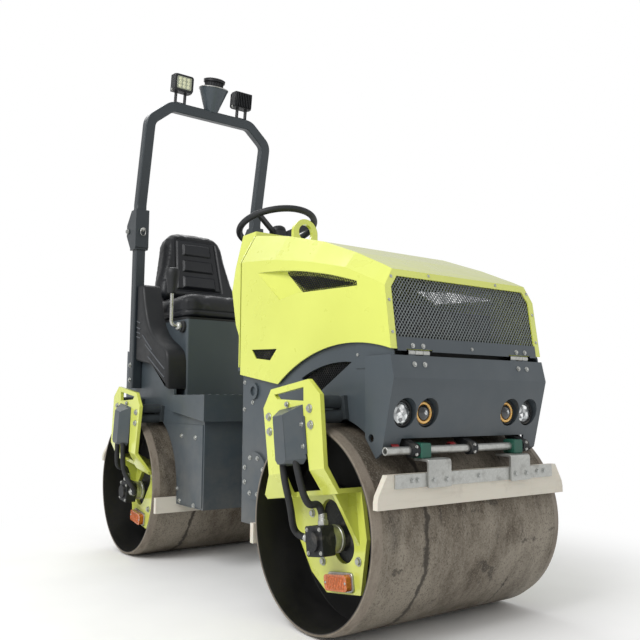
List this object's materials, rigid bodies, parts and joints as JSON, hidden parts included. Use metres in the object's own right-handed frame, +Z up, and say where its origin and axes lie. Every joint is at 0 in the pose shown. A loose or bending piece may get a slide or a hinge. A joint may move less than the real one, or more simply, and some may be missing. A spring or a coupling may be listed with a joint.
{
  "type": "road roller",
  "caption": "Small ride-on tandem road roller with smooth steel drums, an articulated frame, a tilting hood, a seat and a folding roll-over hoop.",
  "frame": {"origin": "on the ground under the middle of the overall box", "axes": "+X forward, +Y to the operator's left, +Z up"},
  "size_m": [2.1468, 0.952, 2.3699],
  "materials": {
    "lime_paint": "gloss",
    "grey_paint": "satin",
    "black_plastic": "matte",
    "black_mesh": "satin",
    "drum_steel": "worn",
    "zinc_steel": "galvanised",
    "black_steel": "satin",
    "rubber": "matte",
    "vinyl": "grained",
    "scraper_plastic": "matte",
    "amber_lens": "clear",
    "lamp_glass": "clear"
  },
  "bodies": {
    "rear_frame": {"rear_chassis": "grey_paint", "floor_plate": "grey_paint", "seat_base": "grey_paint", "side_covers": "black_plastic", "seat_pan": "black_plastic", "seat_cushion": "vinyl", "seat_back": "vinyl", "travel_lever": "black_plastic", "rops_posts": "grey_paint", "rear_forks": "lime_paint", "rear_buffers": "rubber", "rear_stub_axles": "black_steel", "rear_motors": "black_steel", "rear_hose_covers": "grey_paint", "rear_hoses": "rubber", "rear_marker_lamps": "amber_lens", "rear_scraper_blades": "scraper_plastic", "rear_scraper_mounts": "zinc_steel", "rear_scraper_clamps": "black_steel", "rear_knuckle": "grey_paint", "cylinder_barrel": "black_steel"},
    "front_frame": {"front_chassis": "grey_paint", "bumper": "grey_paint", "head_lamps": "lamp_glass", "ring_lamps": "lamp_glass", "arch_vents": "black_mesh", "frame_covers": "grey_paint", "engine_block": "black_steel", "dash_cowl": "lime_paint", "steering_column": "black_plastic", "lifting_eye": "lime_paint", "front_forks": "lime_paint", "front_buffers": "rubber", "front_stub_axles": "black_steel", "front_motors": "black_steel", "front_hose_covers": "grey_paint", "front_hoses": "rubber", "front_marker_lamps": "amber_lens", "front_scraper_blades": "scraper_plastic", "front_scraper_mounts": "zinc_steel", "front_scraper_clamps": "black_steel", "front_knuckle": "grey_paint"},
    "front_drum": {"front_drum": "drum_steel"},
    "rear_drum": {"rear_drum": "drum_steel"},
    "steering_wheel": {"steering_wheel": "black_plastic"},
    "hood": {"hood_shell": "lime_paint", "hood_grille": "black_mesh", "hood_vents": "black_mesh"},
    "rops_hoop": {"rops_hoop": "grey_paint", "work_lamps": "black_plastic", "beacon_pedestal": "grey_paint", "beacon": "black_plastic"},
    "steering_rod": {"cylinder_rod": "zinc_steel"}
  },
  "joints": [
    {"name": "articulation", "type": "hinge", "parent": "rear_frame", "child": "front_frame", "pos_m": [0.025, 0, 0.43], "axis": [0, 0, 1], "range_deg": [-27, 27]},
    {"name": "front_drum_roll", "type": "hinge", "parent": "front_frame", "child": "front_drum", "pos_m": [0.735, 0, 0.315], "axis": [0, 1, 0], "continuous": true},
    {"name": "rear_drum_roll", "type": "hinge", "parent": "rear_frame", "child": "rear_drum", "pos_m": [-0.735, 0, 0.315], "axis": [0, 1, 0], "continuous": true},
    {"name": "steering_turn", "type": "hinge", "parent": "front_frame", "child": "steering_wheel", "pos_m": [-0.088, 0, 1.46], "axis": [-0.2924, 0, 0.9563], "continuous": true},
    {"name": "hood_tilt", "type": "hinge", "parent": "front_frame", "child": "hood", "pos_m": [1.036, 0, 0.84], "axis": [0, 1, 0], "range_deg": [0, 70]},
    {"name": "hoop_fold", "type": "hinge", "parent": "rear_frame", "child": "rops_hoop", "pos_m": [-0.895, 0, 1.54], "axis": [0, -1, 0], "range_deg": [0, 110]},
    {"name": "steering_stroke", "type": "slide", "parent": "rear_frame", "child": "steering_rod", "axis": [1, 0, 0], "range_m": [-0.0705, 0.0705]}
  ],
  "couplings": [
    {"joint": "steering_stroke", "follows": "articulation", "m_per_rad": -0.1455}
  ]
}
